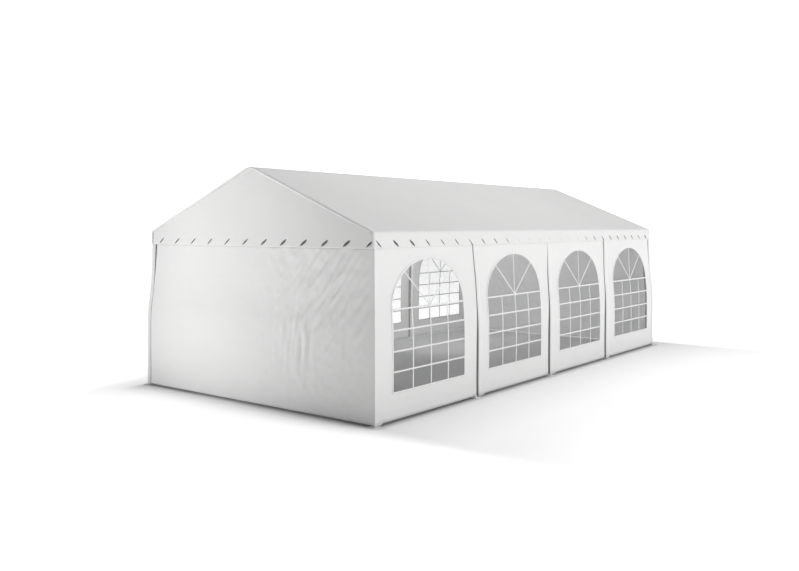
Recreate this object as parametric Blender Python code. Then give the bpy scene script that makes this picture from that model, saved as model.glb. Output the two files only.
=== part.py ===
"""Marquee tent, 8 m long and 4 m wide: a white fabric cover on a white steel frame.

Units are metres and +Z is up. X runs along the tent and Y across it, with the
origin on the ground under its middle. Front is the gable at -X, and left is the
long side at -Y.
"""

import math

import bmesh
import bpy
from mathutils import Matrix, Vector

# Plan and heights
BAY_LENGTH = 2.0
BAY_COUNT = 4
HALF_LENGTH = BAY_LENGTH * BAY_COUNT / 2
HALF_WIDTH = 2.0
EAVE = 2.13
RIDGE = 2.92
SKIRT_HEM = 2.0
WALL_HEM = 0.045
LEAN = 0.05

# Fabric, the gap between pieces that rest on each other, and the same for a leaning leg's end
SHEET = 0.004
SEAT = 0.0003
LEG_TOP_CLEAR = 0.0011

# Frame tubes and their foot plates
LEG_RADIUS = 0.025
RAIL_RADIUS = 0.019
TUBE_SIDES = 24
PLATE_SIZE = 0.12
PLATE_THICK = 0.005

# Arched windows, one in the middle of each bay
WINDOW_HALF = 0.71
SILL = 0.335
SPRING = 1.258
CROWN = 0.557
ARCH_STEPS = 32
PANE = 0.002

# Derived values
ROOF_PITCH = math.atan2(RIDGE - EAVE, HALF_WIDTH)
ROOF_FALL = (RIDGE - EAVE) / HALF_WIDTH
WALL_TILT = math.atan2(LEAN, SKIRT_HEM)
TUBE_DEPTH = (SHEET + SEAT + RAIL_RADIUS) / math.cos(ROOF_PITCH)
RIDGE_TUBE = Vector((0.0, RIDGE - TUBE_DEPTH))
EAVE_TUBE_Y = HALF_WIDTH - SHEET - SEAT - RAIL_RADIUS
EAVE_TUBE = Vector((EAVE_TUBE_Y, RIDGE - ROOF_FALL * EAVE_TUBE_Y - TUBE_DEPTH))
LEG_INSET = (SHEET + SEAT + LEG_RADIUS) / math.cos(WALL_TILT)
LEG_TOP = EAVE_TUBE.y - RAIL_RADIUS - LEG_TOP_CLEAR
INNER_LENGTH = HALF_LENGTH - SHEET - SEAT


def clear_scene():
    """Empty the scene before the tent is built."""
    for old in list(bpy.data.objects):
        bpy.data.objects.remove(old, do_unlink=True)


def make_material(name, colour, roughness, metallic):
    """Return a plain material with one colour."""
    material = bpy.data.materials.new(name)
    material.use_nodes = True
    shader = material.node_tree.nodes["Principled BSDF"]
    shader.inputs["Base Color"].default_value = colour
    shader.inputs["Roughness"].default_value = roughness
    shader.inputs["Metallic"].default_value = metallic
    shader.inputs["Alpha"].default_value = colour[3]
    material.diffuse_color = colour
    return material


def give_material(piece, look):
    """Give a piece its own material, named after it."""
    piece.data.materials.clear()
    piece.data.materials.append(make_material(piece.name, *look))


def lean_at(height):
    """Return how far outside its top a wall stands at a height."""
    return LEAN * (SKIRT_HEM - height) / SKIRT_HEM


def object_from(name, shape):
    """Turn an edited mesh into an object in the scene."""
    mesh = bpy.data.meshes.new(name)
    shape.to_mesh(mesh)
    shape.free()
    piece = bpy.data.objects.new(name, mesh)
    bpy.context.collection.objects.link(piece)
    return piece


def mesh_from_outlines(name, outlines, thickness, placing):
    """Fill flat outlines, the later ones as holes, and give them a thickness."""
    curve = bpy.data.curves.new(name + "_outline", "CURVE")
    curve.dimensions = "2D"
    curve.fill_mode = "BOTH"
    curve.extrude = thickness / 2
    for outline in outlines:
        spline = curve.splines.new("POLY")
        spline.points.add(len(outline) - 1)
        for point, place in zip(spline.points, outline):
            point.co = (place[0], place[1], 0.0, 1.0)
        spline.use_cyclic_u = True
    drawing = bpy.data.objects.new(name + "_outline", curve)
    bpy.context.collection.objects.link(drawing)
    bpy.context.view_layer.update()
    mesh = bpy.data.meshes.new_from_object(drawing)
    bpy.data.objects.remove(drawing, do_unlink=True)
    shape = bmesh.new()
    shape.from_mesh(mesh)
    bpy.data.meshes.remove(mesh)
    bmesh.ops.remove_doubles(shape, verts=shape.verts, dist=SEAT / 10)
    bmesh.ops.transform(shape, matrix=placing, verts=shape.verts)
    bmesh.ops.recalc_face_normals(shape, faces=shape.faces)
    return object_from(name, shape)


def upright_placing(along, foot, tilt, depth):
    """Place a drawing on a wall plane: its first axis runs along, its second up."""
    out = along.cross(Vector((0.0, 0.0, 1.0)))
    up = Vector((0.0, 0.0, math.cos(tilt))) - out * math.sin(tilt)
    face = along.cross(up)
    turn = Matrix((along, up, face)).transposed().to_4x4()
    return Matrix.Translation(foot - face * depth) @ turn


def add_tube(name, start, end, radius):
    """Make a round tube from one point to another."""
    run = end - start
    turn = run.to_track_quat("Z", "Y").to_matrix().to_4x4()
    shape = bmesh.new()
    bmesh.ops.create_cone(
        shape,
        cap_ends=True,
        segments=TUBE_SIDES,
        radius1=radius,
        radius2=radius,
        depth=run.length,
        matrix=Matrix.Translation((start + end) / 2) @ turn,
    )
    return object_from(name, shape)


def add_block(name, centre, size):
    """Make a box."""
    shape = bmesh.new()
    stretch = Matrix.Diagonal((*size, 1.0))
    bmesh.ops.create_cube(shape, size=1.0, matrix=Matrix.Translation(centre) @ stretch)
    return object_from(name, shape)


def join_solids(piece, others):
    """Unite solids into the first one."""
    for other in others:
        union = piece.modifiers.new("union", "BOOLEAN")
        union.operation = "UNION"
        union.solver = "EXACT"
        union.object = other
        bpy.context.view_layer.update()
        view = piece.evaluated_get(bpy.context.evaluated_depsgraph_get())
        mesh = bpy.data.meshes.new_from_object(view)
        piece.modifiers.clear()
        piece.data = mesh
        bpy.data.objects.remove(other, do_unlink=True)


def arch_outline(centre, shrink):
    """Return the outline of an arched window, drawn in its wall's plane."""
    rise = 1 / math.cos(WALL_TILT)
    half = WINDOW_HALF - shrink
    points = [
        (centre - half, SILL * rise + shrink),
        (centre + half, SILL * rise + shrink),
    ]
    for step in range(ARCH_STEPS + 1):
        angle = math.pi * step / ARCH_STEPS
        height = SPRING * rise + (CROWN - shrink) * math.sin(angle)
        points.append((centre + half * math.cos(angle), height))
    return points


def wall_end(side, bay, along_sign, height):
    """Return where a side wall's edge lies along its wall, at a height."""
    if side > 0:
        bay = BAY_COUNT - 1 - bay
    line = -HALF_LENGTH + BAY_LENGTH * (bay + (along_sign > 0))
    if abs(line) < HALF_LENGTH:
        return line - along_sign * (LEG_RADIUS + SEAT)
    corner = HALF_LENGTH + lean_at(height) - SHEET - 2 * SEAT
    return along_sign * corner


def build_side_wall(side_name, side, bay, fabric, foil):
    """Make one bay of a long wall and the clear sheet in its arched window."""
    rise = 1 / math.cos(WALL_TILT)
    along = Vector((-side, 0.0, 0.0))
    foot = Vector((0.0, side * (HALF_WIDTH + LEAN), 0.0))
    top = SKIRT_HEM - SEAT
    outline = [
        (wall_end(side, bay, -1, WALL_HEM), WALL_HEM * rise),
        (wall_end(side, bay, 1, WALL_HEM), WALL_HEM * rise),
        (wall_end(side, bay, 1, top), top * rise),
        (wall_end(side, bay, -1, top), top * rise),
    ]
    centre = -side * (-HALF_LENGTH + BAY_LENGTH * (bay + 0.5))
    number = str(bay + 1)
    placing = upright_placing(along, foot, WALL_TILT, SHEET / 2)
    wall = mesh_from_outlines(
        "side_wall_" + side_name + "_" + number,
        [outline, arch_outline(centre, 0.0)],
        SHEET,
        placing,
    )
    give_material(wall, fabric)
    window = mesh_from_outlines(
        "window_" + side_name + "_" + number,
        [arch_outline(centre, SEAT)],
        PANE,
        placing,
    )
    give_material(window, foil)


def build_gable_wall(name, end, fabric):
    """Make the plain wall of one gable, up to the roof cover's skirt."""
    rise = 1 / math.cos(WALL_TILT)
    along = Vector((0.0, end, 0.0))
    foot = Vector((end * (HALF_LENGTH + LEAN), 0.0, 0.0))
    top = SKIRT_HEM - SEAT
    low_half = HALF_WIDTH + lean_at(WALL_HEM)
    top_half = HALF_WIDTH + lean_at(top)
    outline = [
        (-low_half, WALL_HEM * rise),
        (low_half, WALL_HEM * rise),
        (top_half, top * rise),
        (-top_half, top * rise),
    ]
    placing = upright_placing(along, foot, WALL_TILT, SHEET / 2)
    wall = mesh_from_outlines(name, [outline], SHEET, placing)
    give_material(wall, fabric)


def build_roof_slope(name, side, fabric):
    """Make one slope of the cover with the skirt that hangs from its eave."""
    depth = SHEET / math.cos(ROOF_PITCH)
    inside = HALF_WIDTH - SHEET
    outline = [
        (SEAT / 2, RIDGE),
        (HALF_WIDTH, EAVE),
        (HALF_WIDTH, SKIRT_HEM),
        (inside, SKIRT_HEM),
        (inside, RIDGE - ROOF_FALL * inside - depth),
        (SEAT / 2, RIDGE - depth),
    ]
    along = Vector((0.0, side, 0.0))
    placing = upright_placing(along, Vector((0.0, 0.0, 0.0)), 0.0, 0.0)
    slope = mesh_from_outlines(name, [outline], 2 * INNER_LENGTH, placing)
    give_material(slope, fabric)


def build_roof_gable(name, end, fabric):
    """Make the cover's gable triangle with the skirt below it."""
    outline = [
        (-HALF_WIDTH, SKIRT_HEM),
        (HALF_WIDTH, SKIRT_HEM),
        (HALF_WIDTH, EAVE),
        (0.0, RIDGE),
        (-HALF_WIDTH, EAVE),
    ]
    along = Vector((0.0, end, 0.0))
    foot = Vector((end * HALF_LENGTH, 0.0, 0.0))
    placing = upright_placing(along, foot, 0.0, SHEET / 2)
    gable = mesh_from_outlines(name, [outline], SHEET, placing)
    give_material(gable, fabric)


def leg_axis(line, side, height):
    """Return the middle of a leg at a height; it leans with the walls."""
    across = side * (HALF_WIDTH + lean_at(height) - LEG_INSET)
    if abs(line) < HALF_LENGTH:
        return Vector((line, across, height))
    along = math.copysign(HALF_LENGTH + lean_at(height) - LEG_INSET, line)
    return Vector((along, across, height))


def build_leg(name, line, side, paint):
    """Make one leg with its foot plate and socket."""
    foot = leg_axis(line, side, 0.0)
    leg = add_tube(name, leg_axis(line, side, PLATE_THICK / 2), leg_axis(line, side, LEG_TOP), LEG_RADIUS)
    plate_centre = Vector((foot.x, foot.y, PLATE_THICK / 2))
    plate = add_block(name + "_plate", plate_centre, (PLATE_SIZE, PLATE_SIZE, PLATE_THICK))
    join_solids(leg, [plate])
    give_material(leg, paint)


def rafter_line(line):
    """Return where a rafter stands along the tent."""
    if abs(line) < HALF_LENGTH:
        return line
    return math.copysign(INNER_LENGTH - RAIL_RADIUS, line)


def build_rafter(name, line, side, paint):
    """Make one rafter between the ridge tube and an eave tube."""
    stand = rafter_line(line)
    ridge = Vector((stand, 0.0, RIDGE_TUBE.y))
    eave = Vector((stand, side * EAVE_TUBE.x, EAVE_TUBE.y))
    run = (eave - ridge).normalized() * (RAIL_RADIUS + SEAT)
    rafter = add_tube(name, ridge + run, eave - run, RAIL_RADIUS)
    give_material(rafter, paint)


def build_long_tube(name, across, height, paint):
    """Make a tube that runs the whole length of the tent."""
    start = Vector((-INNER_LENGTH, across, height))
    end = Vector((INNER_LENGTH, across, height))
    tube = add_tube(name, start, end, RAIL_RADIUS)
    give_material(tube, paint)


def build_tent():
    """Build every piece of the tent."""
    cover = ((0.86, 0.86, 0.85, 1.0), 0.45, 0.0)
    cloth = ((0.88, 0.88, 0.87, 1.0), 0.5, 0.0)
    foil = ((0.55, 0.57, 0.58, 0.5), 0.12, 0.0)
    paint = ((0.84, 0.84, 0.83, 1.0), 0.35, 0.0)
    build_roof_gable("roof_gable_front", -1, cover)
    build_roof_gable("roof_gable_back", 1, cover)
    build_gable_wall("gable_wall_front", -1, cloth)
    build_gable_wall("gable_wall_back", 1, cloth)
    build_long_tube("ridge_tube", RIDGE_TUBE.x, RIDGE_TUBE.y, paint)
    for side_name, side in (("left", -1), ("right", 1)):
        build_roof_slope("roof_slope_" + side_name, side, cover)
        build_long_tube("eave_tube_" + side_name, side * EAVE_TUBE.x, EAVE_TUBE.y, paint)
        for bay in range(BAY_COUNT):
            build_side_wall(side_name, side, bay, cloth, foil)
        for frame in range(BAY_COUNT + 1):
            line = -HALF_LENGTH + BAY_LENGTH * frame
            number = str(frame + 1)
            build_leg("leg_" + side_name + "_" + number, line, side, paint)
            build_rafter("rafter_" + side_name + "_" + number, line, side, paint)


clear_scene()
build_tent()
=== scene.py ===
"""Looks of the marquee tent: white coated fabric, clear arched windows, painted steel.

Each piece of fabric starts as a flat cut cloth, in metres, and is then laid on
the tent by a function of its own.
"""

import math

import bmesh
import bpy
from mathutils import Matrix, Vector, noise


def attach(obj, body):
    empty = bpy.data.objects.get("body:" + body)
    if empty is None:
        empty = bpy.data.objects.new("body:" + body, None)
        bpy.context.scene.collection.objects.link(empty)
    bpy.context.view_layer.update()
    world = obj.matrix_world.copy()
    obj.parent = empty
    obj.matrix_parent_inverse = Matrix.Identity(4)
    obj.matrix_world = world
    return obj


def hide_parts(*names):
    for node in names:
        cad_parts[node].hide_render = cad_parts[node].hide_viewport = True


bl_info = {
    "name": "Marquee tent",
    "version": (1, 0, 0),
    "blender": (4, 5, 0),
    "location": "View3D > Sidebar > Tent",
    "description": "Fabric, windows, lacing and stage of a marquee tent",
    "category": "Object",
}

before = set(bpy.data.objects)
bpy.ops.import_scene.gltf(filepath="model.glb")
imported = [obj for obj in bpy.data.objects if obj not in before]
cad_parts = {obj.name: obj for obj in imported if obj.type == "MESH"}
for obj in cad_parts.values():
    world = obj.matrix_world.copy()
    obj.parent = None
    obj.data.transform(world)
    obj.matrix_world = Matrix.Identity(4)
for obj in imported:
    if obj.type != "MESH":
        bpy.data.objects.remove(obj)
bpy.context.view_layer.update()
BODY = "root"

# Sizes that part.py also has
BAY = 2.0
BAYS = 4
HALF_LENGTH = 4.0
HALF_WIDTH = 2.0
EAVE = 2.13
SKIRT_LINE = 2.0
LEAN = 0.05

# Walls
HEM = 0.028
FOOT_HEM = 0.010
FOOT_HEM_TOP = 0.4
WALL_TOP = 1.953
BELLY = 0.022
BELLY_HEIGHT = 0.95
BELLY_SPREAD = 0.33
CORNER_REACH = 0.5
TUCK = 0.0022
TUCK_LOW = 1.943
TUCK_HIGH = 1.947
EDGE_LIFT = 0.004
EDGE_ROUND = 0.0015
EDGE_TURN = 0.005
EDGE_REACH = 0.2
CORNER_STRIP = 0.092
CORNER_GROOVE = 0.034
GROOVE_LEFT = 0.0008
GROOVE_OPENS = (1.25, 1.95)
GROOVE_OPEN_SHARE = 0.85
SEAM_ROUND = 0.004
SEAM_TURN = 0.03
SLEEVE_ROUND = 0.03
STRIP_WIDTH = 0.12

# The groove at each joint of the long walls, at its foot, at mid height and at its top: how far its
# middle lies from the joint, and its width
GROOVE_MIDDLES = {1: (0.008, 0.022, -0.025), 2: (-0.047, -0.022, -0.012), 3: (-0.085, -0.060, -0.045)}
GROOVE_WIDTHS = {1: (0.052, 0.021, 0.020), 2: (0.066, 0.030, 0.008), 3: (0.066, 0.030, 0.036)}

# A wall panel's edges from the joints at its ends, the width of its strips beside the opening, and how far
# above the arch's spring its outline is divided
PANEL_START = -0.02
PANEL_END = -0.06
PANEL_FIRST = 0.0012
FIRST_ROUND = 0.001
STRIP_FROM_LEFT = 0.16
STRIP_FROM_RIGHT = 0.06
PANEL_TURN = 0.06

# How far the lower hem over a leg reaches into each bay
FOOT_REACH = {1: 0.12, 2: 0.19, 3: 0.18, 4: 0.11}

# How far the creases of the front gable stand out: its slow swell, its two groups of folds, its crumpled
# right half and the small pleats that hang from the lacing
SWELL = 0.005
UPPER_FOLDS = 0.030
LOWER_FOLDS = 0.026
CRUMPLE = 0.005
STREAKS = 0.004
PLEATS = 0.004
CREASED_FROM = 2.1

# Roof cover
APEX = 2.955
ROOF_FALL = (APEX - EAVE) / HALF_WIDTH
SKIRT_HEM = 1.946
SKIRT_PROUD = 0.0004
FOLD_PROUD = 0.010
FOLD_CLOSE = 0.0088
EAVE_ROUND = 0.026
RIDGE_ROUND = 0.32
FOLD_ROUND = 0.022
FOLD_DEPTH = 0.034
FOLD_PARTS = (0.14, 0.28, 0.45, 0.7, 1.0)
ROOF_SAG = 0.016
ROOF_UNEVEN = 0.006
SKIRT_RIPPLE = 0.0012
PANEL_EDGE = 0.004
RAKE_CLEAR = 0.005

# Lacing slits
SLIT_HEIGHT = 2.0
SLIT_HALF = 0.043
SLIT_SLANT = 0.052
BAND_DEPTH = 0.0014
SIDE_SLITS = 26
SIDE_FIRST = 0.06
SIDE_DRAWN = 0.015
SIDE_DRAWN_RATE = 0.0228
SIDE_STEP = (2 * HALF_LENGTH - 2 * SIDE_FIRST) / (SIDE_SLITS - 1)
JOINT_SLITS = (6, 19)
GABLE_SLITS = 12
GABLE_FIRST = 0.066
GABLE_STEP = 0.337
SLIT_SIDES = (-0.055, -0.022, 0.0, 0.022, 0.055)
SLIT_CLEAR = 0.062
SLIT_NEAREST = 0.004
SLIT_PARTS = (-1.0, -0.75, -0.4, 0.0, 0.4, 0.75, 1.0)
SLIT_ABOVE = 0.02
SLANT_FADE = 1.6
SLANT_ENDS = 0.05

# Dark bands that stand for the lacing and are painted shade inside the lacing slits and the wall grooves:
# the lacing band's edges below and above the slits, and the bands in the grooves
LACING_BELOW = 0.002
LACING_ABOVE = 0.012
LACING_END = 0.02
LACING_THICK = 0.0012
JOIN_WIDTH = 0.08
JOIN_FOOT = 0.03
JOIN_TOP = WALL_TOP - 0.0005
JOIN_DEPTH = 0.0022
JOIN_THICK = 0.001

# How far apart the columns and rows of the cloths lie
COLUMN_STEP = 0.075
COARSE_STEP = 0.06
LONG_STEP = 0.05
LACING_STEP = 0.1
SLEEVE_STEP = 0.04
EDGE_STEP = 0.03
FLAT_STEP = 0.025
ROW_STEP = 0.02
CREASED_STEP = 0.0125
ARC_STEP = 0.008
SLEEVE_ARC_STEP = 0.006
SEAM_STEP = 0.004
SAME_PLACE = 1e-6
SAME_LINE = 1e-5

# Windows
WINDOW_HALF = 0.71
SILL = 0.335
SPRING = 1.258
CROWN = 0.557
BAR_WIDTH = 0.020
BAR_HEIGHTS = (0.56, 0.79, 1.023, 1.258)
BAR_OVER = 0.01
FAN_TIPS = ((-0.474, 1.68), (0.0, SPRING + CROWN + BAR_OVER), (0.474, 1.68))
FAN_WIDTH = 0.85
HUB_RISE = 0.007
HUB_RADIUS = 0.03
RIM_ROWS = (0.0, 0.012, 0.024)
RIM_OVERLAP = 0.004
FOIL_EDGE = 0.02
FOIL_COLUMNS = 44
FOIL_STEP = 0.028
FOIL_THICK = 0.0006
FOIL_WAVE = 0.003
WAVE_FADE = 0.12
OPENING_POINTS = 160

# How far out of the wall's face the foil and the bars stand
FOIL_OUT = -0.0018
UPRIGHT_OUT = -0.0004
LEVEL_OUT = -0.0001
HUB_OUT = 0.0002
RIM_OUT = 0.0008
BAR_THICK = 0.0012

# Finishes
FADED = 0.93
THROUGH_FABRIC = 0.12
FOIL_ALPHA = 0.15

# Camera, solved from the picture: its width, focal length and level line in pixels, place and heading
PICTURE_WIDTH = 799.0
FOCAL_LENGTH = 834.667
LEVEL_SHIFT = 285.5 - 225.871
SENSOR = 36.0
EYE = (-11.04, -7.811, 2.198)
HEADING = 37.815
FAR_CLIP = 400.0

# Stage: the surround's strength as light and as it is seen, and the floor's size, depth and foot
WORLD_LIT = 0.12
WORLD_SEEN = 1.4
FLOOR_SIZE = 120.0
FLOOR_DEPTH = 0.001
FLOOR_FOOT = LEAN - 0.03

# The floor's painted shade and its painted glow at distances from the tent's foot, in lengths of 40 m. The
# floor is painted dark under and beside the tent as its shadow, and its glow stays low near the tent as a
# painted contact shadow. A distance counts faster in front and on the far sides, and the far sides' glow
# starts later, which paints a band of shadow beside them.
FLOOR_LENGTH = 40.0
FLOOR_PAINTED_SHADE = ((0.0, 0.34), (0.0035, 0.81), (1.0, 0.86))
FLOOR_PAINTED_GLOW = (
    (0.00125, 0.0), (0.0075, 0.08), (0.025, 0.15), (0.0375, 0.2),
    (0.0625, 0.34), (0.1125, 0.48), (0.25, 0.52), (0.7, 1.0),
)
FRONT_PACE = 9.0
FAR_PACE = 30.0
PAINTED_SHADOW_DELAY = 0.4
INSIDE_PAINTED_SHADE = 0.0015
FRAME_NODES = 23


def smooth(value):
    """Ease from 0 to 1."""
    value = min(max(value, 0.0), 1.0)
    return value * value * (3.0 - 2.0 * value)


def between(low, high, value):
    """Ease from 0 at low to 1 at high."""
    return smooth((value - low) / (high - low))


def bell(value, width):
    """A soft hump, 1 in its middle."""
    return math.exp(-((value / width) ** 2))


def wander(x, y, z):
    """A slow random wave between about -1 and 1."""
    return noise.noise(Vector((x, y, z)))


def spread(start, end, step):
    """Evenly spaced values from start to end, about a step apart."""
    count = max(1, round(abs(end - start) / step))
    return [start + (end - start) * index / count for index in range(count + 1)]


def merged(values, nearest):
    """Sorted values without those that lie closer than the nearest allowed."""
    kept = []
    for value in sorted(values):
        if not kept or value - kept[-1] > nearest:
            kept.append(value)
    return kept


def stretches(marks, steps):
    """Values from mark to mark, each stretch with its own step."""
    values = []
    for start, end, step in zip(marks, marks[1:], steps):
        values += spread(start, end, step)
    return merged(values, SAME_LINE)


class RoundedPath:
    """A flat line of straight runs with rounded corners, measured along its length."""

    def __init__(self, points, radii):
        points = [Vector(point) for point in points]
        self.runs = []
        self.marks = [0.0]
        start = points[0]
        for before, corner, beyond, radius in zip(points, points[1:], points[2:], radii):
            ahead = (corner - before).normalized()
            after = (beyond - corner).normalized()
            turn = math.atan2(ahead.x * after.y - ahead.y * after.x, ahead.dot(after))
            back = radius * math.tan(abs(turn) / 2)
            begin = corner - ahead * back
            self.add_run(start, ahead, (begin - start).length)
            self.add_run(begin, ahead, radius * abs(turn), math.copysign(radius, turn))
            start = corner + after * back
        self.add_run(start, (points[-1] - start).normalized(), (points[-1] - start).length)
        self.length = self.marks[-1]

    def add_run(self, start, ahead, length, radius=None):
        """Add a straight run or a rounding, and mark where it ends."""
        self.runs.append((start, ahead, radius))
        self.marks.append(self.marks[-1] + length)

    def at(self, distance):
        """Return the point at a distance and the direction to its left."""
        index = sum(mark < distance for mark in self.marks[1:-1])
        start, ahead, radius = self.runs[index]
        distance -= self.marks[index]
        left = Vector((-ahead.y, ahead.x))
        if radius is None:
            return start + ahead * distance, left
        centre = start + left * radius
        turned = Matrix.Rotation(distance / radius, 2)
        return centre + turned @ (start - centre), turned @ left


def lean_at(height):
    """How far a wall stands outside its top."""
    return LEAN * (SKIRT_LINE - height) / SKIRT_LINE


def wall_out(height):
    """How far the wall fabric hangs outside the plan, with its soft belly."""
    if height < BELLY_HEIGHT:
        belly = smooth(height / BELLY_HEIGHT)
    else:
        belly = bell(height - BELLY_HEIGHT, BELLY_SPREAD)
    tucked = TUCK * between(TUCK_LOW, TUCK_HIGH, height)
    return lean_at(min(height, SKIRT_LINE)) + BELLY * belly - tucked


def roof_height(y):
    """Height of the roof's rounded line above a place beside the ridge."""
    slope = math.hypot(1.0, ROOF_FALL)
    if abs(y) < RIDGE_ROUND * ROOF_FALL / slope:
        return APEX - RIDGE_ROUND * slope + math.sqrt(RIDGE_ROUND ** 2 - y * y)
    return APEX - ROOF_FALL * abs(y)


def corner_share(along, half):
    """How much of the lean at a corner a place near it follows."""
    return math.copysign(between(half - CORNER_REACH, half, abs(along)), along)


def on_side(s, n, z):
    """Place a point of the left wall: s from its front end, n out of its face."""
    out = wall_out(z)
    x = s - HALF_LENGTH
    x += out * corner_share(x, HALF_LENGTH)
    return Vector((x, -(HALF_WIDTH + out + n), z))


def on_gable(g, n, z):
    """Place a point of the front gable wall: g from its left end seen from outside."""
    out = wall_out(z)
    y = HALF_WIDTH - g
    y += out * corner_share(y, HALF_WIDTH)
    return Vector((-(HALF_LENGTH + out + n), y, z))


def corner_closing(height):
    """How far a cloth's edge reaches over the groove beside a corner sleeve."""
    return (CORNER_GROOVE - GROOVE_LEFT) * (1.0 - between(*GROOVE_OPENS, height) * GROOVE_OPEN_SHARE)


def foot_drop(share, height):
    """How much lower a cloth hangs over a leg's foot."""
    return (HEM - FOOT_HEM) * share * (1.0 - between(HEM, FOOT_HEM_TOP, height))


def bays():
    """Give each bay's number, whether it lies on the far side, and its pieces' ending."""
    for half_turn, side in ((False, "left"), (True, "right")):
        for bay in range(1, BAYS + 1):
            yield bay, half_turn, "%s_%d" % (side, BAYS + 1 - bay if half_turn else bay)


def add_grid(shape, columns, rows):
    """Add a flat grid whose vertices lie at the given columns and rows, and return them."""
    steps = (len(columns) - 1, len(rows) - 1)
    added = bmesh.ops.create_grid(shape, x_segments=steps[0], y_segments=steps[1], size=0.5)
    for vert in added["verts"]:
        column = round((vert.co.x + 0.5) * steps[0])
        row = round((vert.co.y + 0.5) * steps[1])
        vert.co = Vector((columns[column], rows[row], 0.0))
    return added["verts"]


def flat_grid(columns, rows):
    """A flat cloth whose vertices lie at the given columns and rows."""
    cloth = bmesh.new()
    add_grid(cloth, columns, rows)
    return cloth


def open_slit(cloth, u, low, high, width, widest=None):
    """Cut one slit along a column of the flat cloth and draw it open, widest in its middle or at an end."""
    inside = {
        v for v in cloth.verts
        if abs(v.co.x - u) < SAME_PLACE and low - SAME_PLACE < v.co.y < high + SAME_PLACE
    }
    edges = list({e for v in inside for e in v.link_edges if e.other_vert(v) in inside})
    before = len(cloth.verts)
    bmesh.ops.split_edges(cloth, edges=edges)
    if len(cloth.verts) == before:
        raise RuntimeError("a slit found no column to open")
    across = [v.co.x for v in cloth.verts]
    room = min(width * 3, 0.95 * (u - min(across)), 0.95 * (max(across) - u))
    middle = (low + high) / 2 if widest is None else widest
    half = max(high - middle, middle - low)
    moves = []
    for vert in cloth.verts:
        past = vert.co.x - u
        if abs(vert.co.y - middle) >= half or abs(past) > room:
            continue
        reach = width / 2 * (1.0 - ((vert.co.y - middle) / half) ** 2)
        if abs(past) < SAME_PLACE:
            past = sum(face.calc_center_median().x - u for face in vert.link_faces)
        else:
            reach *= 1.0 - abs(past) / room
        moves.append((vert, math.copysign(reach, past)))
    for vert, move in moves:
        vert.co.x += move


def lay(verts, place, half_turn=False):
    """Move a flat cloth's vertices to their places on the tent, or half a turn round it to its far side."""
    for vert in verts:
        vert.co = place(vert.co.x, vert.co.y)
        if half_turn:
            vert.co.xy = -vert.co.xy


def add_object(name, data):
    """Put a new object into the scene."""
    body = bpy.data.objects.new(name, data)
    bpy.context.collection.objects.link(body)
    return body


def add_mesh(name, shape, material):
    """Turn a shape into an object of one material."""
    mesh = bpy.data.meshes.new(name)
    shape.to_mesh(mesh)
    shape.free()
    mesh.materials.append(material)
    return add_object(name, mesh)


def make_piece(name, shape, material, thickness=None):
    """Turn a shape into a piece of the tent, thickened inwards by the fabric's or another measure."""
    for face in shape.faces:
        face.smooth = True
    piece = add_mesh(name, shape, material)
    wall = piece.modifiers.new("thickness", "SOLIDIFY")
    wall.thickness = thickness or bpy.context.scene.tent_sizes.fabric
    wall.offset = -1.0
    wall.use_rim = True
    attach(piece, BODY)
    return piece


def sheet_area(shape):
    """Area of a flat cloth."""
    return sum(face.calc_area() for face in shape.faces)


class Socket:
    """One output in a material, with Python's operators."""

    def __init__(self, nodes, output):
        self.nodes = nodes
        self.output = output

    def math(self, operation, other=None):
        """Add a Math node that works on this output."""
        values = {0: self} if other is None else {0: self, 1: other}
        return self.nodes.add("ShaderNodeMath", {"operation": operation}, values)

    def __add__(self, other):
        return self.math("ADD", other)

    __radd__ = __add__

    def __sub__(self, other):
        return self.math("SUBTRACT", other)

    def __rsub__(self, other):
        return self.nodes.add("ShaderNodeMath", {"operation": "SUBTRACT"}, {0: other, 1: self})

    def __mul__(self, other):
        return self.math("MULTIPLY", other)

    __rmul__ = __mul__

    def __pow__(self, other):
        return self.math("POWER", other)

    def held(self, high=None):
        """Keep this output at 0 or more, and at a highest value or less."""
        low = self.math("MAXIMUM", 0.0)
        return low if high is None else low.math("MINIMUM", high)


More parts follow.
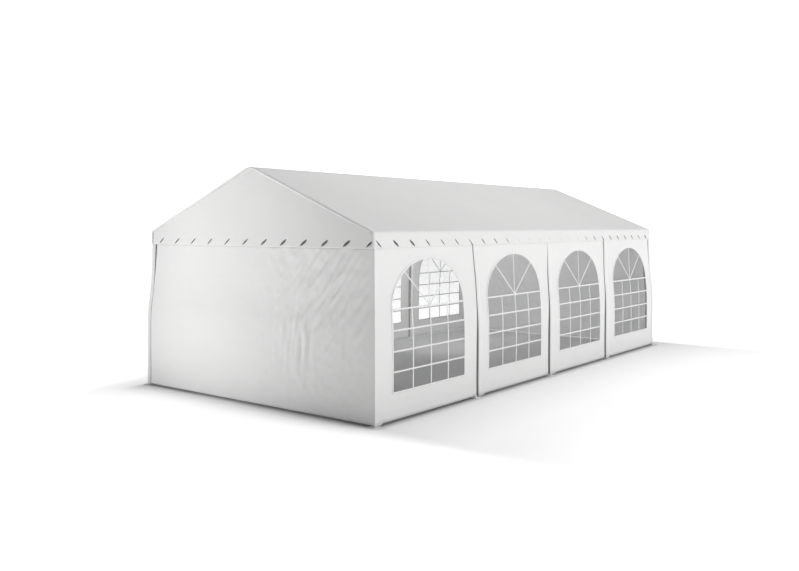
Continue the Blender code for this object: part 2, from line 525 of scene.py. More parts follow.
class Finish:
    """A procedural material of this tent."""

    def __init__(self, name):
        self.material = bpy.data.materials.new(name)
        self.material.use_nodes = True
        self.tree = self.material.node_tree
        self.shader = self.tree.nodes["Principled BSDF"]
        self.place = self.add("ShaderNodeTexCoord", {}, {}, "Object")

    def add(self, kind, settings, values, output=0):
        """Add a node with its settings first and its sockets' values or links next."""
        node = self.tree.nodes.new(kind)
        for key, value in settings.items():
            if key == "stops":
                for index, (position, colour) in enumerate(value):
                    if index > 1:
                        node.color_ramp.elements.new(position)
                    node.color_ramp.elements[index].position = position
                    node.color_ramp.elements[index].color = colour
            else:
                setattr(node, key, value)
        for key, value in values.items():
            self.feed(key, value, node)
        return Socket(self, node.outputs[output])

    def feed(self, socket, value, node=None):
        """Set a socket of the shader or another node, or link a changing value to it."""
        target = (node or self.shader).inputs[socket]
        if isinstance(value, Socket):
            self.tree.links.new(value.output, target)
        else:
            target.default_value = value

    def noise(self, scale, detail, roughness=0.5, place=None):
        """Soft cloudy noise."""
        values = {"Vector": place or self.place, "Scale": scale, "Detail": detail, "Roughness": roughness}
        return self.add("ShaderNodeTexNoise", {}, values)

    def ramp(self, factor, stops):
        """A colour ramp, where a plain number stands for a grey."""
        colours = [(at, grey(look) if isinstance(look, float) else look) for at, look in stops]
        return self.add("ShaderNodeValToRGB", {"stops": colours}, {"Fac": factor})

    def axis(self, name):
        """One of the place's coordinates."""
        return self.add("ShaderNodeSeparateXYZ", {}, {"Vector": self.place}, name)

    def bands(self, scale, distortion):
        """Fine slanting threads."""
        settings = {"wave_type": "BANDS", "bands_direction": "DIAGONAL"}
        values = {"Vector": self.place, "Scale": scale, "Distortion": distortion}
        return self.add("ShaderNodeTexWave", settings, values)

    def coat(self, pattern, stops, least, more):
        """Let one pattern vary the colour, and the roughness from its least value up."""
        self.feed("Base Color", self.ramp(pattern, stops))
        self.feed("Roughness", least + pattern * more)

    def bump(self, height, strength, distance):
        """Send a height to the surface's normal."""
        values = {"Height": height, "Strength": strength, "Distance": distance}
        self.feed("Normal", self.add("ShaderNodeBump", {}, values, "Normal"))

    def let_light_through(self, share):
        """Let part of the light through, as thin fabric does."""
        glow = self.add("ShaderNodeBsdfTranslucent", {}, {"Color": grey(0.9)})
        mix = self.add("ShaderNodeMixShader", {}, {"Fac": share})
        self.tree.links.new(self.shader.outputs["BSDF"], mix.output.node.inputs[1])
        self.tree.links.new(glow.output, mix.output.node.inputs[2])
        self.tree.links.new(mix.output, self.tree.nodes["Material Output"].inputs["Surface"])


def grey(value):
    """An opaque grey."""
    return (value, value, value, 1.0)


def coated_fabric(name, pale, dull):
    """White coated fabric: faint scrim threads, soft clouds and a slightly soiled foot."""
    cloth = Finish(name)
    clouds = cloth.noise(scale=1.3, detail=4.0, roughness=0.55)
    grime = cloth.noise(scale=9.0, detail=5.0, roughness=0.6)
    foot = cloth.add(
        "ShaderNodeMapRange",
        {"interpolation_type": "SMOOTHSTEP"},
        {"Value": cloth.axis("Z"), "From Min": 0.0, "From Max": 0.5, "To Min": 1.0, "To Max": 0.0},
    )
    soil = foot * grime * 0.35 + clouds * 0.55
    cloth.feed("Base Color", cloth.ramp(soil, [(0.15, pale), (0.75, dull)]))
    cloth.feed("Roughness", 0.42 + clouds * 0.16)
    threads = cloth.bands(scale=90.0, distortion=0.4)
    crumple = cloth.noise(scale=7.0, detail=3.0)
    cloth.bump(crumple * 0.9 + threads * 0.02, strength=0.22, distance=0.02)
    cloth.feed("Coat Weight", 0.08)
    cloth.feed("Specular IOR Level", 0.4)
    cloth.let_light_through(THROUGH_FABRIC)
    return cloth.material


def window_foil(name, colour):
    """Clear grey foil with slow waves."""
    foil = Finish(name)
    upright = foil.add("ShaderNodeMapping", {}, {"Vector": foil.place, "Scale": (1.0, 1.0, 0.45)})
    waves = foil.noise(scale=3.0, detail=2.0, roughness=0.4, place=upright)
    foil.coat(waves, [(0.3, colour), (0.7, 0.66)], least=0.1, more=0.12)
    foil.bump(waves, strength=0.3, distance=0.02)
    foil.feed("Alpha", FOIL_ALPHA)
    return foil.material


def welded_bar(name, colour):
    """White smooth strip on the windows."""
    strip = Finish(name)
    clouds = strip.noise(scale=14.0, detail=3.0)
    strip.coat(clouds, [(0.3, colour), (0.75, 0.68)], least=0.3, more=0.15)
    strip.bump(clouds, strength=0.1, distance=0.002)
    return strip.material


def shade_band_finish(name):
    """Dark webbing with a ribbed weave, for the bands that are painted shade in the slits and grooves."""
    band = Finish(name)
    ribs = band.bands(scale=140.0, distortion=0.3)
    band.coat(ribs, [(0.2, 0.09), (0.8, 0.16)], least=0.75, more=0.1)
    band.bump(ribs, strength=0.4, distance=0.001)
    return band.material


def white_paint(name, colour):
    """Powder coated steel with a fine orange peel and a few dull scuffs."""
    paint = Finish(name)
    peel = paint.noise(scale=420.0, detail=2.0)
    scuffs = paint.noise(scale=18.0, detail=6.0, roughness=0.7)
    paint.coat(scuffs, [(0.35, colour), (0.8, 0.62)], least=0.28, more=0.25)
    paint.bump(peel * 0.3 + scuffs * 0.1, strength=0.15, distance=0.001)
    return paint.material


class TentSizes(bpy.types.PropertyGroup):
    """Sizes of the tent's soft pieces."""

    fabric: bpy.props.FloatProperty(
        name="Fabric", description="Thickness of the shown fabric", default=0.0008, unit="LENGTH")
    slit: bpy.props.FloatProperty(
        name="Slit width", description="How far a lacing slit stands open", default=0.058, unit="LENGTH")
    bar: bpy.props.FloatProperty(
        name="Bar width", description="Width of the windows' white bars", default=BAR_WIDTH, unit="LENGTH")


def colour_setting(name, of_what, red, green, blue):
    """A colour that the user can change."""
    return bpy.props.FloatVectorProperty(
        name=name, description="Colour of the " + of_what, default=(red, green, blue, 1.0),
        size=4, min=0.0, max=1.0, subtype="COLOR")


class TentColours(bpy.types.PropertyGroup):
    """Colours of the tent."""

    cover: colour_setting("Cover", "roof fabric", 0.74, 0.74, 0.735)
    wall: colour_setting("Walls", "wall fabric", 0.77, 0.77, 0.765)
    foil: colour_setting("Foil", "window foil", 0.6, 0.61, 0.62)
    paint: colour_setting("Frame", "painted steel", 0.84, 0.84, 0.83)


def finish_of(name, maker, *values):
    """Return a material, made once."""
    return bpy.data.materials.get(name) or maker(name, *values)


def fabric(part):
    """The fabric of the cover or the wall, in its own colour."""
    pale = tuple(getattr(bpy.context.scene.tent_colours, part))
    return finish_of("coated_" + part, coated_fabric, pale, grey(pale[0] * FADED))


def slit_columns(centres, start, end):
    """Columns for a cloth with slits: close together beside each slit."""
    columns = spread(start, end, COLUMN_STEP)
    kept = [c for c in columns if all(abs(c - centre) > SLIT_CLEAR for centre in centres)]
    kept += [centre + side for centre in centres for side in SLIT_SIDES]
    return merged([start, end] + [c for c in kept if start < c < end], SLIT_NEAREST)


def slit_rows():
    """Heights of the rows of a skirt with slits, from its hem up."""
    rows = [SLIT_HEIGHT + SLIT_HALF * part for part in SLIT_PARTS]
    return [SKIRT_HEM] + rows + [rows[-1] + SLIT_ABOVE]


def slant(u, w, sign, start, end, drawn=0.0):
    """Shift a place beside the slits so that they stand at a slant and are drawn along."""
    rise = (w - SLIT_HEIGHT) / SLIT_HALF
    shift = sign * SLIT_SLANT * max(-1.0, min(1.0, rise)) + drawn
    shift *= 1.0 - smooth((rise - 1.0) / SLANT_FADE)
    ends = smooth((u - start) / SLANT_ENDS) * smooth((end - u) / SLANT_ENDS)
    return u + shift * ends


def slit_gape(s):
    """How far a slit of the long wall gapes: most at the ends, hardly at all in the middle."""
    first = 0.6 * bell(s - 0.52, 0.3) + 0.38 * (1.0 - between(2.6, 3.3, s))
    return 0.03 + first + 0.6 * between(4.9, 6.1, s) - 0.3 * between(7.7, 7.9, s)


def gable_gape(g):
    """How far a slit of the gable gapes: wider towards its right end."""
    return 0.5 + 0.5 * between(1.5, 2.9, g) - 0.25 * between(3.7, 3.95, g)


class TENT_OT_roof_cover(bpy.types.Operator):
    """Make the sheet that covers both slopes, with its skirts and folded ends"""

    bl_idname = "tent.roof_cover"
    bl_label = "Roof cover"

    def execute(self, context):
        sizes = context.scene.tent_sizes
        half = HALF_WIDTH + SKIRT_PROUD
        corner = APEX - ROOF_FALL * half
        profile = RoundedPath(
            [(-half, SKIRT_HEM), (-half, corner), (0.0, APEX), (half, corner), (half, SKIRT_HEM)],
            [EAVE_ROUND, RIDGE_ROUND, EAVE_ROUND],
        )
        marks = profile.marks
        total = profile.length
        reach = HALF_LENGTH + FOLD_PROUD - FOLD_ROUND
        fold = FOLD_ROUND * math.pi / 2 + FOLD_DEPTH - FOLD_ROUND
        left = [SIDE_FIRST + SIDE_STEP * index - HALF_LENGTH for index in range(SIDE_SLITS)]
        columns = slit_columns(left, -reach, reach)
        arcs = [fold * part for part in FOLD_PARTS]
        columns = [-reach - a for a in reversed(arcs)] + columns + [reach + a for a in arcs]
        low = [height - SKIRT_HEM for height in slit_rows()]
        steps = (ROW_STEP, ARC_STEP, COARSE_STEP, ROW_STEP, COARSE_STEP, ARC_STEP, ROW_STEP)
        rows = low + [total - w for w in low] + stretches([low[-1], *marks[1:-1], total - low[-1]], steps)
        cloth = flat_grid(columns, merged(rows, SAME_LINE))
        low_slit = SLIT_HEIGHT - SLIT_HALF - SKIRT_HEM
        high_slit = low_slit + 2 * SLIT_HALF
        for number, x in enumerate(left):
            width = sizes.slit * slit_gape(x + HALF_LENGTH)
            foot, widest, far_widest = low_slit, None, None
            if number in JOINT_SLITS:
                foot, widest, far_widest = 0.0, 0.0, total
            open_slit(cloth, x, foot, high_slit, width, widest)
            open_slit(cloth, -x, total - high_slit, total - foot, width, far_widest)

        def place(u, w):
            upward = w if w < total / 2 else total - w
            side = -1.0 if w < total / 2 else 1.0
            drawn = SIDE_DRAWN - SIDE_DRAWN_RATE * (HALF_LENGTH - side * u)
            u = slant(u, SKIRT_HEM + upward, side, -reach, reach, -side * drawn)
            point, out = profile.at(w)
            past = abs(u) - reach
            x, inward = u, 0.0
            if past > 0:
                angle = min(past / FOLD_ROUND, math.pi / 2)
                flat = max(0.0, past - FOLD_ROUND * math.pi / 2)
                back = FOLD_CLOSE * smooth(flat / (FOLD_DEPTH - FOLD_ROUND))
                x = math.copysign(reach + FOLD_ROUND * math.sin(angle) - back, u)
                inward = FOLD_ROUND * (1 - math.cos(angle)) + flat
            inward += self.sag(u, upward, marks)
            point = point - out * inward
            return Vector((x, point.x, point.y))

        lay(cloth.verts, place)
        piece = make_piece("roof_sheet", cloth, fabric("cover"))
        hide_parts("roof_slope_left", "roof_slope_right")
        columns[-1] - columns[0]
        return {"FINISHED"}

    def sag(self, x, upward, marks):
        """How far the cover sags between rafters and ripples above the slits."""
        slope = (upward - marks[2]) / (marks[3] - marks[2])
        bay = math.sin(math.pi * (x + HALF_LENGTH) / BAY) ** 2
        inward = 0.0
        if 0.0 < slope < 1.0:
            inward += ROOF_SAG * bay * math.sin(math.pi * slope) ** 0.8
            inward += ROOF_UNEVEN * wander(x * 0.8, slope * 2.2, 3.0) * math.sin(math.pi * slope)
        if upward < marks[1]:
            share = between(0.09, 0.12, upward) * (1 - between(0.14, 0.17, upward))
            inward += SKIRT_RIPPLE * math.sin(2 * math.pi * (x + HALF_LENGTH) / SIDE_STEP) * share
        return inward


class TENT_OT_gable_covers(bpy.types.Operator):
    """Make the cover's gable panels with their laced skirts"""

    bl_idname = "tent.gable_covers"
    bl_label = "Gable panels"

    def execute(self, context):
        sizes = context.scene.tent_sizes
        slits = [2 * HALF_WIDTH - GABLE_FIRST - GABLE_STEP * index for index in range(GABLE_SLITS)]
        far_edge = 2 * HALF_WIDTH - PANEL_EDGE
        columns = slit_columns(slits, PANEL_EDGE, far_edge)
        rows = slit_rows() + [2.085, 2.11] + [EAVE + part for part in spread(0.0, 1.0, LONG_STEP)]
        low = SLIT_HEIGHT - SLIT_HALF
        for half_turn, end in ((False, "front"), (True, "back")):
            cloth = flat_grid(columns, rows)
            for vert in cloth.verts:
                if vert.co.y > EAVE:
                    rake = roof_height(HALF_WIDTH - vert.co.x) - RAKE_CLEAR
                    vert.co.y = EAVE + (vert.co.y - EAVE) * (rake - EAVE)
            area = sheet_area(cloth)
            for g in slits:
                open_slit(cloth, g, low, low + 2 * SLIT_HALF, sizes.slit * gable_gape(g))

            def place(u, w):
                u = slant(u, w, 1.0, PANEL_EDGE, far_edge)
                out = SKIRT_PROUD + smooth((w - SKIRT_HEM) / 0.04) * self.ripple(u, w)
                return Vector((-(HALF_LENGTH + out), HALF_WIDTH - u, w))

            lay(cloth.verts, place, half_turn)
            piece = make_piece("gable_panel_" + end, cloth, fabric("cover"))
            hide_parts("roof_gable_" + end)
        return {"FINISHED"}

    def ripple(self, g, height):
        """Small waves of the gable panel, in and out."""
        edges = smooth(g / 0.15) * smooth((2 * HALF_WIDTH - g) / 0.15)
        slow = wander(g * 1.6, height * 1.2, 7.0)
        deep = 0.0005 + 0.0025 * between(2.06, 2.12, height)
        return edges * max(-deep, min(0.0012, 0.004 * slow))


class TENT_OT_lacing_shade(bpy.types.Operator):
    """Make the dark bands that show through the lacing slits: they stand for the lacing and are painted
    shade inside the slits
    """

    bl_idname = "tent.lacing"
    bl_label = "Lacing bands"

    def execute(self, context):
        webbing = finish_of("elastic_webbing", shade_band_finish)
        low = SLIT_HEIGHT - SLIT_HALF - LACING_BELOW
        high = SLIT_HEIGHT + SLIT_HALF + LACING_ABOVE
        for sides, half, place in (
            (("left", "right"), HALF_LENGTH, lambda u, w: Vector((u, BAND_DEPTH - HALF_WIDTH, w))),
            (("front", "back"), HALF_WIDTH, lambda u, w: Vector((BAND_DEPTH - HALF_LENGTH, -u, w))),
        ):
            end = half - LACING_END
            for half_turn, side in enumerate(sides):
                cloth = flat_grid(spread(-end, end, LACING_STEP), spread(low, high, ROW_STEP))
                lay(cloth.verts, place, half_turn)
                # Painted shade: this dark band behind the slits makes them dark. It stands partly for the
                # lacing and partly for the shade inside the slits.
                piece = make_piece("lacing_band_" + side, cloth, webbing, thickness=LACING_THICK)
        return {"FINISHED"}


def at_groove(values, height):
    """A measure of a groove at a height, from its values at the foot, at mid height and at the top."""
    foot, middle, top = values
    low = (foot - middle) * (1.0 - between(0.6, 1.3, height))
    return middle + low + (top - middle) * between(1.4, 1.92, height)


class TENT_OT_groove_shade_bands(bpy.types.Operator):
    """Make the upright dark bands in the grooves between neighbouring wall panels: painted shade that
    darkens each groove
    """

    bl_idname = "tent.joining_bands"
    bl_label = "Groove shade bands"

    def execute(self, context):
        for half_turn, side, gable in ((False, "left", "front"), (True, "right", "back")):
            for bay in range(1, BAYS):
                number = BAYS - bay if half_turn else bay
                self.band("%s_%d" % (side, number), on_side, half_turn,
                          lambda w: BAY * bay + at_groove(GROOVE_MIDDLES[bay], w))
            middle = CORNER_STRIP + CORNER_GROOVE / 2
            self.band(side + "_end", on_side, half_turn, lambda w: 2 * HALF_LENGTH - middle)
            self.band(gable + "_end", on_gable, half_turn, lambda w: middle)
        return {"FINISHED"}

    def band(self, title, wall, half_turn, middle):
        """One upright band that follows its groove and paints its shade."""
        webbing = finish_of("elastic_webbing", shade_band_finish)
        columns = spread(-JOIN_WIDTH / 2, JOIN_WIDTH / 2, JOIN_WIDTH / 4)
        cloth = flat_grid(columns, spread(JOIN_FOOT, JOIN_TOP, LONG_STEP))
        lay(cloth.verts, lambda u, w: wall(middle(w) + u, -JOIN_DEPTH, w), half_turn)
        # Painted shade: the dark band stands where shade falls in the groove between the panels and beside
        # the leg.
        piece = make_piece("joining_band_" + title, cloth, webbing, thickness=JOIN_THICK)


class TENT_OT_gable_walls(bpy.types.Operator):
    """Make the plain gable walls with their creases"""

    bl_idname = "tent.gable_walls"
    bl_label = "Gable walls"

    def execute(self, context):
        whole = 2 * HALF_WIDTH
        for half_turn, end in ((False, "front"), (True, "back")):
            edge = CORNER_STRIP + CORNER_GROOVE
            path = RoundedPath([(edge, -SEAM_TURN), (edge, 0.0), (whole, 0.0)], [SEAM_ROUND])
            marks = path.marks
            steps = (EDGE_STEP, SEAM_STEP, FLAT_STEP, CREASED_STEP)
            columns = stretches([*marks[:3], CREASED_FROM, marks[3]], steps)
            rows = spread(HEM, TUCK_LOW, ROW_STEP) + [TUCK_HIGH, WALL_TOP]
            cloth = flat_grid(columns, rows)

            def place(u, w):
                point, out = path.at(u)
                point = point + out * self.crease(point.x, w)
                closed = corner_closing(w) * smooth((0.5 - point.x) / 0.36)
                w -= foot_drop(between(whole - 0.12, whole - 0.09, u), w)
                return on_gable(point.x - closed, point.y, w)

            lay(cloth.verts, place, half_turn)
            piece = make_piece("gable_cloth_" + end, cloth, fabric("wall"))
            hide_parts("gable_wall_" + end)
        return {"FINISHED"}

    def crease(self, g, height):
        """How far the gable wall's creases stand in or out."""
        right = between(1.5, 2.7, g)
        ends = smooth((g - 0.14) / 0.2) * smooth((4.0 - g) / 0.1)
        top = 1.0 - between(1.9, 1.955, height)
        across = 0.8 * g - 0.6 * height
        along = 0.6 * g + 0.8 * height
        streaks = wander(across * 15.0, along * 2.6, 4.0)
        folds = wander(g * 15.0 - height * 2.0, height * 2.6, 9.0)
        crumple = wander(g * 12.0, height * 9.0, 2.0)
        upper = bell(g - 3.2, 0.45) * bell(height - 1.5, 0.36)
        lower = bell(g - 2.85, 0.32) * bell(height - 0.85, 0.36)
        lower += 0.5 * bell(g - 3.7, 0.22) * bell(height - 0.85, 0.25)
        pleats = bell(height - 1.93, 0.16) * math.cos(2 * math.pi * (g - GABLE_FIRST) / GABLE_STEP)
        move = SWELL * (0.4 + 0.6 * right) * wander(g * 2.0, height * 0.9, 1.0)
        move += UPPER_FOLDS * upper * streaks + LOWER_FOLDS * lower * folds
        move += right * (CRUMPLE * crumple + STREAKS * streaks + PLEATS * pleats)
        return move * ends * top


def arch_top(x, margin=0.0):
    """Height of the window's arch above a place beside its middle."""
    share = min(1.0, abs(x) / (WINDOW_HALF + margin))
    return SPRING + (CROWN + margin) * math.sqrt(1.0 - share * share)


def walk(share, stops, places):
    """Walk from place to place, with a stop from 0 to 1 at each: a share gives a point."""
    for start, stop, here, there in zip(stops, stops[1:], places, places[1:]):
        if share <= stop + SAME_PLACE:
            return Vector(here).lerp(Vector(there), (share - start) / (stop - start))
    return Vector(places[-1])


def window_outline(share, margin=0.0):
    """Walk round a window from its lower left corner, with an arch over its straight sides."""
    half = WINDOW_HALF + margin
    low = SILL - margin
    if 0.4 < share < 0.85:
        angle = math.pi * (share - 0.4) / 0.45
        return Vector((half * math.cos(angle), SPRING + (CROWN + margin) * math.sin(angle)))
    places = ((-half, low), (half, low), (half, SPRING), (-half, SPRING), (-half, low))
    return walk(share, (0.0, 0.25, 0.4, 0.85, 1.0), places)


def panel_outline(share, left, right):
    """Walk round a wall panel beside window_outline's points, corner by corner."""
    turn = SPRING + PANEL_TURN
    sides = ((right, HEM), (right, turn), (right, TUCK_LOW), (left, TUCK_LOW), (left, turn))
    return walk(share, (0.0, 0.25, 0.4, 0.50625, 0.74375, 0.85, 1.0), ((left, HEM), *sides, (left, HEM)))


def ring(shape, point):
    """Add a closed line of points and return its edges."""
    added = bmesh.ops.create_circle(shape, segments=OPENING_POINTS, radius=1.0)["verts"]
    for index, vert in enumerate(added):
        vert.co = point(index / OPENING_POINTS).to_3d()
    return list({edge for vert in added for edge in vert.link_edges})


def widen(cloth, at, steps, axis=0):
    """Extend a flat cloth from its edge at a column or row, one more at each distance."""
    for step in steps:
        rim = [e for e in cloth.edges if e.is_boundary]
        edges = [e for e in rim if all(abs(v.co[axis] - at) < SAME_PLACE for v in e.verts)]
        if not edges:
            raise RuntimeError("a panel found no edge to widen")
        moved = bmesh.ops.extrude_edge_only(cloth, edges=edges)["geom"]
        for part in moved:
            if isinstance(part, bmesh.types.BMVert):
                part.co[axis] = at + step
        at += step


class TENT_OT_side_walls(bpy.types.Operator):
    """Make the long walls' panels with their arched openings, one in each bay"""

    bl_idname = "tent.side_walls"
    bl_label = "Side walls"

    def execute(self, context):
        for bay, half_turn, title in bays():
            self.panel(bay, half_turn, title)
        return {"FINISHED"}

    def panel(self, bay, half_turn, title):
        """Cut and hang one panel."""
        start = BAY * (bay - 1)
        left, turn_left, deep_left = start + PANEL_START, EDGE_ROUND, EDGE_TURN
        right, turn_right, deep_right = start + BAY + PANEL_END, EDGE_ROUND, EDGE_TURN
        if bay == 1:
            left, turn_left, deep_left = PANEL_FIRST, FIRST_ROUND, SEAM_TURN
        if bay == BAYS:
            right, turn_right, deep_right = start + BAY - CORNER_STRIP - CORNER_GROOVE, SEAM_ROUND, SEAM_TURN
        path = RoundedPath(
            [(left, -deep_left), (left, 0.0), (right, 0.0), (right, -deep_right)], [turn_left, turn_right])
        marks = path.marks
        centre = marks[2] + start + BAY / 2 - left - turn_left
        cloth = bmesh.new()
        low, high = marks[2] + STRIP_FROM_LEFT, marks[3] - STRIP_FROM_RIGHT
        opening = ring(cloth, lambda share: window_outline(share) + Vector((centre, 0.0)))
        border = ring(cloth, lambda share: panel_outline(share, low, high))
        bridged = bmesh.ops.bridge_loops(cloth, edges=opening + border)
        bmesh.ops.subdivide_edges(cloth, edges=bridged["edges"], cuts=8, use_grid_fill=True)
        arcs = marks[2] - marks[1]
        widen(cloth, low, [-STRIP_FROM_LEFT / 10] * 10 + [-arcs / 4] * 4 + [-marks[1] / 2] * 2)
        arcs = marks[4] - marks[3]
        widen(cloth, high, [STRIP_FROM_RIGHT / 3] * 3 + [arcs / 4] * 4 + [(path.length - marks[4]) / 2] * 2)
        widen(cloth, TUCK_LOW, [TUCK_HIGH - TUCK_LOW, WALL_TOP - TUCK_HIGH], 1)
        area = sheet_area(cloth)

        def place(u, w):
            point = path.at(u)[0]
            at_left = 1.0 - smooth((point.x - left) / EDGE_REACH)
            at_right = 1.0 - smooth((right - point.x) / EDGE_REACH)
            s = point.x + self.edge_shift(bay, w, left, right, at_left, at_right)
            n = point.y + self.crease(point.x - start, w) * (1.0 - max(at_left, at_right))
            n += self.edge_lift(bay, point.x - left, right - point.x) * (1.0 - between(1.75, 1.93, w))
            reach = FOOT_REACH[bay]
            w -= foot_drop(1.0 - between(reach - 0.03, reach + 0.01, point.x - start), w)
            return on_side(s, n, w)

        lay(cloth.verts, place, half_turn)
        piece = make_piece("wall_panel_" + title, cloth, fabric("wall"))
        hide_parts("side_wall_" + title)

    def edge_shift(self, bay, height, left, right, at_left, at_right):
        """How far a place follows its panel's edges to the grooves beside the panel."""

        def groove(joint, sign):
            """Where one edge of a groove stands."""
            half = at_groove(GROOVE_WIDTHS[joint], height) / 2
            return BAY * joint + at_groove(GROOVE_MIDDLES[joint], height) + sign * half

        shift = at_left * (groove(bay - 1, 1) - left) if bay > 1 else 0.0
        return shift + at_right * (groove(bay, -1) - right if bay < BAYS else corner_closing(height))

    def edge_lift(self, bay, past_left, past_right):
        """How far the edges and the strip over a leg stand out, with a shallow valley beside it."""
        lift = 0.0
        if bay > 1:
            share = past_left / STRIP_WIDTH
            lift += EDGE_LIFT * (1.0 - smooth(share)) + 0.005 * math.sin(math.pi * min(max(share, 0.0), 1.0))
            lift -= 0.002 * bell(share - 1.15, 0.15)
        if bay < BAYS:
            lift += EDGE_LIFT * (1.0 - smooth(past_right / 0.07))
        return lift

    def crease(self, along, height):
        """How far a panel's slow waves stand in or out."""
        top = 1.0 - between(1.86, 1.97, height)
        return 0.0035 * top * wander(along * 1.6, height * 1.1, 11.0)


class TENT_OT_corner_sleeves(bpy.types.Operator):
    """Make the fabric sleeves over the two corner legs that the walls leave free"""

    bl_idname = "tent.corner_sleeves"
    bl_label = "Corner sleeves"

    def execute(self, context):
        strip = CORNER_STRIP
        path = RoundedPath(
            [(-strip, SEAM_TURN), (-strip, 0.0), (0.0, 0.0), (0.0, strip), (-SEAM_TURN, strip)],
            [SEAM_ROUND, SLEEVE_ROUND, SEAM_ROUND])
        rows = spread(FOOT_HEM, TUCK_LOW, SLEEVE_STEP) + [TUCK_HIGH, WALL_TOP]
        columns = stretches(path.marks, (EDGE_STEP, SLEEVE_ARC_STEP) * 4)

        def place(u, w):
            point = path.at(u)[0]
            reach = wall_out(w)
            return Vector((HALF_LENGTH + reach + point.x, -(HALF_WIDTH + reach) + point.y, w))

        for half_turn, corner in ((False, "back_left"), (True, "front_right")):
            cloth = flat_grid(columns, rows)
            lay(cloth.verts, place, half_turn)
            bmesh.ops.recalc_face_normals(cloth, faces=cloth.faces)
            piece = make_piece("corner_sleeve_" + corner, cloth, fabric("wall"))
        return {"FINISHED"}


class TENT_OT_windows(bpy.types.Operator):
    """Make the clear foils in the arched openings, with their white bars and borders"""

    bl_idname = "tent.windows"
    bl_label = "Windows"

    def execute(self, context):
        for bay, half_turn, title in bays():
            middle = BAY * (bay - 0.5)
            self.foil(context, middle, half_turn, title)
            self.bars(context, middle, half_turn, title)
        return {"FINISHED"}

    def wave(self, along, height):
        """How far the foil's slow waves stand in or out."""
        wave = FOIL_WAVE * wander(along * 2.6, height * 1.3, 17.0)
        for room in (WINDOW_HALF - abs(along), arch_top(along) - height, height - SILL):
            wave *= smooth(room / WAVE_FADE)
        return wave

    def foil(self, context, middle, half_turn, title):
        """One foil, a little larger than its opening."""
        half = WINDOW_HALF + FOIL_EDGE
        low = SILL - FOIL_EDGE
        columns = [-half * math.cos(math.pi * index / FOIL_COLUMNS) for index in range(FOIL_COLUMNS + 1)]
        cloth = flat_grid(columns, spread(0.0, 1.0, FOIL_STEP))
        for vert in cloth.verts:
            vert.co.y = low + vert.co.y * (arch_top(vert.co.x, FOIL_EDGE) - low)
        area = sheet_area(cloth)
        lay(cloth.verts, lambda u, w: on_side(middle + u, FOIL_OUT + self.wave(u, w), w), half_turn)
        foil = finish_of("clear_foil", window_foil, tuple(context.scene.tent_colours.foil))
        piece = make_piece("window_foil_" + title, cloth, foil, FOIL_THICK)
        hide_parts("window_" + title)
        "wall_panel_" + title

    def bars(self, context, middle, half_turn, title):
        """The white bars of one window: a lattice below, a fan and its hub above, a border round all."""
        width = context.scene.tent_sizes.bar
        shape = bmesh.new()
        spacing = WINDOW_HALF / 2

        def strip(start, end, front, wide=width):
            """Lay one straight bar."""
            start, end = Vector(start), Vector(end)
            ahead = (end - start).normalized()
            left = Vector((-ahead.y, ahead.x))
            rows = [-wide / 2, 0.0, wide / 2]
            verts = add_grid(shape, spread(0.0, (end - start).length, LONG_STEP), rows)

            def place(u, w):
                at = start + ahead * u + left * w
                return on_side(middle + at.x, front + self.wave(at.x, at.y), at.y)

            lay(verts, place, half_turn)

        def border(u, w):
            at = window_outline(u, w - RIM_OVERLAP)
            return on_side(middle + at.x, RIM_OUT, at.y)

        for x in (-spacing, 0.0, spacing):
            strip((x, SILL - BAR_OVER), (x, SPRING), UPRIGHT_OUT)
        for height in BAR_HEIGHTS:
            strip((-WINDOW_HALF - BAR_OVER, height), (WINDOW_HALF + BAR_OVER, height), LEVEL_OUT)
        hub = SPRING + HUB_RISE
        for tip in FAN_TIPS:
            strip((0.0, hub), tip, UPRIGHT_OUT, width * FAN_WIDTH)
        lay(add_grid(shape, spread(0.0, 1.0, 1 / OPENING_POINTS), RIM_ROWS), border, half_turn)
        patch = bmesh.ops.create_circle(shape, cap_ends=True, segments=24, radius=HUB_RADIUS)["verts"]
        lay(patch, lambda u, w: on_side(middle + u, HUB_OUT, hub + w), half_turn)
        bmesh.ops.remove_doubles(shape, verts=shape.verts, dist=SAME_LINE)
        bar = finish_of("welded_bar", welded_bar, grey(0.76))
        make_piece("window_bars_" + title, shape, bar, BAR_THICK)


class TENT_OT_frame_paint(bpy.types.Operator):
    """Give the steel frame its white paint"""

    bl_idname = "tent.frame_paint"
    bl_label = "Frame paint"

    def execute(self, context):
        paint = finish_of("white_powder_coat", white_paint, tuple(context.scene.tent_colours.paint))
        painted = [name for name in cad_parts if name.startswith(("leg_", "rafter_", "ridge_", "eave_"))]
        for name in painted:
            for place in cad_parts[name].material_slots:
                place.material = paint
        if len(painted) != FRAME_NODES:
            raise RuntimeError("the frame lacks a tube or a leg")
        return {"FINISHED"}


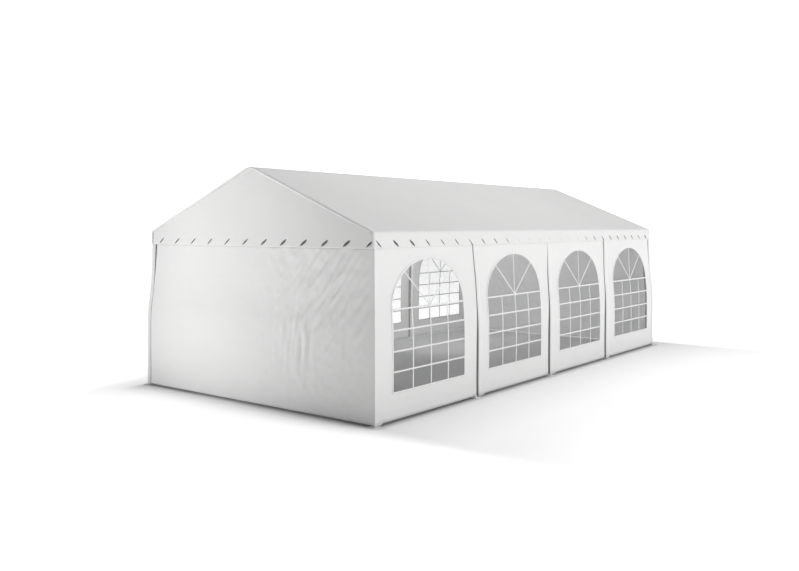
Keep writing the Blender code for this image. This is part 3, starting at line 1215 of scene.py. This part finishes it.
class TENT_OT_stage(bpy.types.Operator):
    """Make the pale floor with its painted shade and painted glow, the soft lights and the camera"""

    bl_idname = "tent.stage"
    bl_label = "Stage"

    def execute(self, context):
        self.floor()
        self.light("key_light", place=(3.0, -22.0, 10.0), target=(0.5, -2.0, 1.0), size=10.0, power=3200.0)
        self.light("top_light", place=(1.0, -2.0, 12.0), target=(1.0, -1.0, 0.0), size=12.0, power=980.0)
        self.light("left_light", place=(-10.4, 6.5, 1.5), target=(-4.0, 0.55, 1.65), size=0.8, power=2350.0,
                   cone=25.0, tall=2.5)
        self.light("inside_light", place=(0.6, 0.7, 1.8), target=(4.0, 1.5, 1.3), size=0.8, power=27.0)
        self.surround(context.scene)
        camera = bpy.data.cameras.new("camera")
        camera.sensor_width = SENSOR
        camera.lens = SENSOR * FOCAL_LENGTH / PICTURE_WIDTH
        camera.shift_y = -LEVEL_SHIFT / PICTURE_WIDTH
        camera.clip_end = FAR_CLIP
        eye = add_object("camera", camera)
        eye.location = EYE
        eye.rotation_euler = (math.radians(90.0), 0.0, math.radians(HEADING - 90.0))
        context.scene.camera = eye
        context.scene.view_settings.view_transform = "Standard"
        return {"FINISHED"}

    def floor(self):
        """A wide floor, painted dark under and beside the tent as its shadow, with a painted glow that rises
        away from it.
        """
        shape = bmesh.new()
        bmesh.ops.create_grid(shape, x_segments=8, y_segments=8, size=FLOOR_SIZE)
        bmesh.ops.translate(shape, verts=shape.verts, vec=(0.0, 0.0, -FLOOR_DEPTH))
        finish = Finish("floor_white")
        finish.feed("Roughness", 0.75)
        finish.feed("Specular IOR Level", 0.2)
        along, across = finish.axis("X"), finish.axis("Y")
        # Painted shade: the floor is dark under the tent and just beside its foot, as its shadow, and
        # darkest in the tent's near half, as the near wall's shadow.
        inside_shade_step = (across + 0.35).held(0.9) * INSIDE_PAINTED_SHADE
        finish.feed("Base Color", finish.ramp(self.away(along, across) + inside_shade_step, FLOOR_PAINTED_SHADE))
        # Painted light: the floor glows. The glow stays low near the tent as a painted contact shadow and
        # rises away from it. On the far sides it starts later, which paints a band of shadow there.
        later = ((along + 3.8) * 2.0).held(1.0) * PAINTED_SHADOW_DELAY
        glow = self.away(along, across, later, FRONT_PACE, FAR_PACE)
        finish.feed("Emission Color", finish.ramp(glow, FLOOR_PAINTED_GLOW))
        finish.feed("Emission Strength", 1.0)
        floor = add_mesh("floor", shape, finish.material)

    def away(self, along, across, later=0.0, front_pace=1.0, far_pace=1.0):
        """How far the floor lies from the tent's foot, for its painted shade and painted glow, counted
        faster where less light falls.
        """
        length = HALF_LENGTH + FLOOR_FOOT
        width = HALF_WIDTH + FLOOR_FOOT
        front = (-length - along).held() * front_pace
        back = (along - later - length).held() * far_pace
        left = (across - later - width).held() * far_pace
        right = (-width - across).held()
        return (front ** 2 + back ** 2 + left ** 2 + right ** 2) ** 0.5 * (1.0 / FLOOR_LENGTH)

    def light(self, name, place, target, size, power, cone=None, tall=1.0):
        """One soft light that looks at a place: square, or a round one whose cone fades to its edge."""
        lamp = bpy.data.lights.new(name, "SPOT" if cone else "AREA")
        lamp.energy = power
        if cone:
            lamp.shadow_soft_size = size
            lamp.spot_size = math.radians(cone)
            lamp.spot_blend = 1.0
        else:
            lamp.shape = "SQUARE"
            lamp.size = size
        body = add_object(name, lamp)
        body.location = place
        body.rotation_euler = (Vector(target) - Vector(place)).to_track_quat("-Z", "Y").to_euler()
        body.scale.y = tall
        body.visible_glossy = False
        body.visible_camera = False

    def surround(self, scene):
        """A white surround that is seen brighter than it lights."""
        scene.world = bpy.data.worlds.new("studio")
        scene.world.use_nodes = True
        nodes, links = scene.world.node_tree.nodes, scene.world.node_tree.links
        mix = nodes.new("ShaderNodeMixShader")
        path = nodes.new("ShaderNodeLightPath")
        links.new(path.outputs["Is Camera Ray"], mix.inputs["Fac"])
        for slot, strength in ((1, WORLD_LIT), (2, WORLD_SEEN)):
            side = nodes.new("ShaderNodeBackground")
            side.inputs["Color"].default_value = grey(1.0)
            side.inputs["Strength"].default_value = strength
            links.new(side.outputs["Background"], mix.inputs[slot])
        links.new(mix.outputs["Shader"], nodes["World Output"].inputs["Surface"])


class TENT_PT_panel(bpy.types.Panel):
    """Lists the tent's pieces in the sidebar"""

    bl_idname = "TENT_PT_panel"
    bl_label = "Marquee tent"
    bl_space_type = "VIEW_3D"
    bl_region_type = "UI"
    bl_category = "Tent"

    def draw(self, context):
        """Draw the sizes, the colours and a button for each operator."""
        for group in (context.scene.tent_sizes, context.scene.tent_colours):
            for name in group.__annotations__:
                self.layout.prop(group, name)
        for operator in OPERATORS:
            self.layout.operator(operator.bl_idname)


OPERATORS = (
    TENT_OT_roof_cover,
    TENT_OT_gable_covers,
    TENT_OT_lacing_shade,
    TENT_OT_groove_shade_bands,
    TENT_OT_gable_walls,
    TENT_OT_side_walls,
    TENT_OT_corner_sleeves,
    TENT_OT_windows,
    TENT_OT_frame_paint,
    TENT_OT_stage,
)
CLASSES = (TentSizes, TentColours, *OPERATORS, TENT_PT_panel)


def register():
    """Register the classes and their settings."""
    for cls in CLASSES:
        bpy.utils.register_class(cls)
    bpy.types.Scene.tent_sizes = bpy.props.PointerProperty(type=TentSizes)
    bpy.types.Scene.tent_colours = bpy.props.PointerProperty(type=TentColours)


def unregister():
    """Remove what register added."""
    del bpy.types.Scene.tent_colours
    del bpy.types.Scene.tent_sizes
    for cls in reversed(CLASSES):
        bpy.utils.unregister_class(cls)


def main():
    """Build every piece in order."""
    register()
    bpy.ops.tent.roof_cover()
    bpy.ops.tent.gable_covers()
    bpy.ops.tent.lacing()
    bpy.ops.tent.joining_bands()
    bpy.ops.tent.gable_walls()
    bpy.ops.tent.side_walls()
    bpy.ops.tent.corner_sleeves()
    bpy.ops.tent.windows()
    bpy.ops.tent.frame_paint()
    bpy.ops.tent.stage()


if __name__ == "__main__":
    main()
